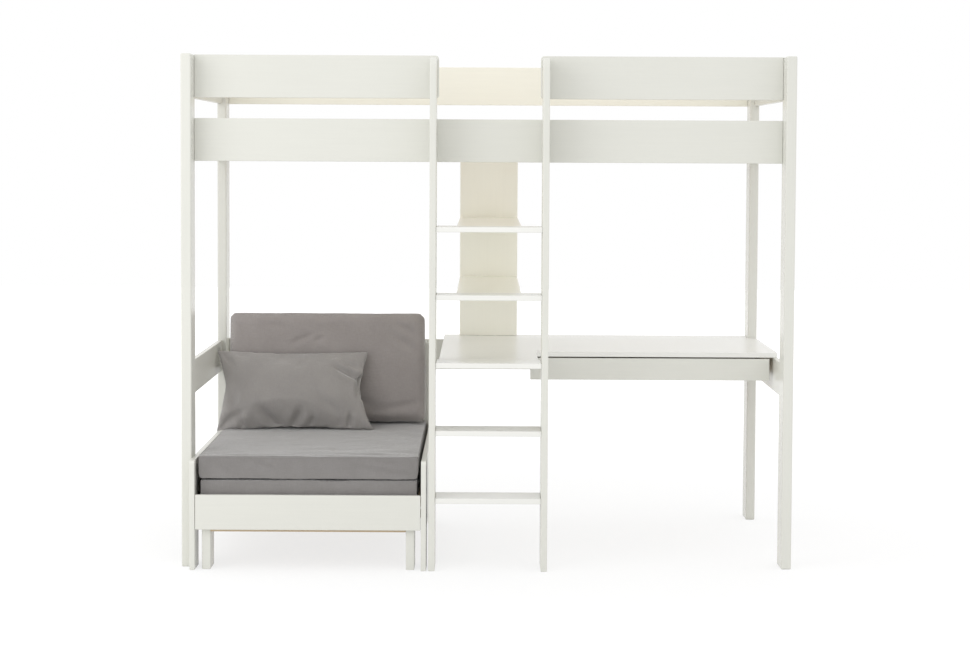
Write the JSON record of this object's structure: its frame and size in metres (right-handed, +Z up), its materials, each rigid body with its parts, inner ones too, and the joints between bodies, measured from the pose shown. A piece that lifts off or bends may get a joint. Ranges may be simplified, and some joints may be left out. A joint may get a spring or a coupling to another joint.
{
  "type": "loft bed",
  "caption": "White loft bed with guard rails, a ladder, a desk with a drawer, a narrow bookshelf and a pull-out sofa bed with cushions.",
  "frame": {"origin": "on the floor, under the middle of the whole object's box", "axes": "+X along the bed's length to the right as seen from the ladder side, +Y from the ladder side to the back, +Z up"},
  "size_m": [2.105, 1.117, 1.767],
  "materials": {
    "white_paint": "smooth satin white paint on wooden board",
    "bare_wood": "sanded pale softwood",
    "drawer_ply": "sanded pale plywood",
    "seat_fabric": "plain woven warm grey upholstery fabric",
    "cushion_fabric": "plain woven warm grey upholstery fabric, darker",
    "pillow_fabric": "plain woven grey cover fabric"
  },
  "bodies": {
    "frame": {"bed_slat_01": "bare_wood", "bed_slat_02": "bare_wood", "bed_slat_03": "bare_wood", "bed_slat_04": "bare_wood", "bed_slat_05": "bare_wood", "bed_slat_06": "bare_wood", "bed_slat_07": "bare_wood", "bed_slat_08": "bare_wood", "bed_slat_09": "bare_wood", "bed_slat_10": "bare_wood", "desktop": "white_paint", "drawer_runner_left": "drawer_ply", "drawer_runner_right": "drawer_ply", "end_rail_left": "white_paint", "end_rail_right": "white_paint", "guard_back": "white_paint", "guard_front_left": "white_paint", "guard_front_right": "white_paint", "guard_left": "white_paint", "guard_right": "white_paint", "ladder_stile_left": "white_paint", "ladder_stile_right": "white_paint", "lower_rail_back": "white_paint", "lower_rail_left": "white_paint", "lower_rail_right": "white_paint", "mattress_lower": "seat_fabric", "mattress_upper": "seat_fabric", "post_back_left": "white_paint", "post_back_right": "white_paint", "post_front_left": "white_paint", "post_front_right": "white_paint", "shelf_back_panel": "white_paint", "shelf_lower": "white_paint", "shelf_upper": "white_paint", "side_rail_back": "white_paint", "side_rail_front": "white_paint", "slat_cleat_back": "bare_wood", "slat_cleat_front": "bare_wood", "sofa_back_board": "white_paint", "sofa_side_left": "white_paint", "sofa_side_right": "white_paint", "sofa_slat_deck": "bare_wood", "tread_1": "white_paint", "tread_2": "white_paint", "tread_3": "white_paint", "tread_4": "white_paint", "tread_5": "white_paint"},
    "drawer": {"drawer_back": "drawer_ply", "drawer_bottom": "drawer_ply", "drawer_front": "white_paint", "drawer_side_left": "drawer_ply", "drawer_side_right": "drawer_ply"},
    "pull_out": {"pull_out_front_rail": "white_paint", "pull_out_leg_left": "white_paint", "pull_out_leg_right": "white_paint", "pull_out_slat_deck": "bare_wood", "pull_out_stretcher": "bare_wood"},
    "pillow_body": {"pillow": "pillow_fabric"},
    "cushion_body": {"back_cushion": "cushion_fabric"}
  },
  "joints": [
    {"name": "drawer_slide", "type": "slide", "parent": "frame", "child": "drawer", "axis": [0, -1, 0], "range_m": [0, 0.26]},
    {"name": "sofa_pull_out", "type": "slide", "parent": "frame", "child": "pull_out", "axis": [0, -1, 0], "range_m": [0, 0.87]},
    {"name": "pillow_lift", "type": "slide", "parent": "frame", "child": "pillow_body", "axis": [0, 0, 1], "range_m": [0, 0.25]},
    {"name": "cushion_lift", "type": "slide", "parent": "frame", "child": "cushion_body", "axis": [0, 0.1045, 0.9945], "range_m": [0, 0.3]}
  ]
}
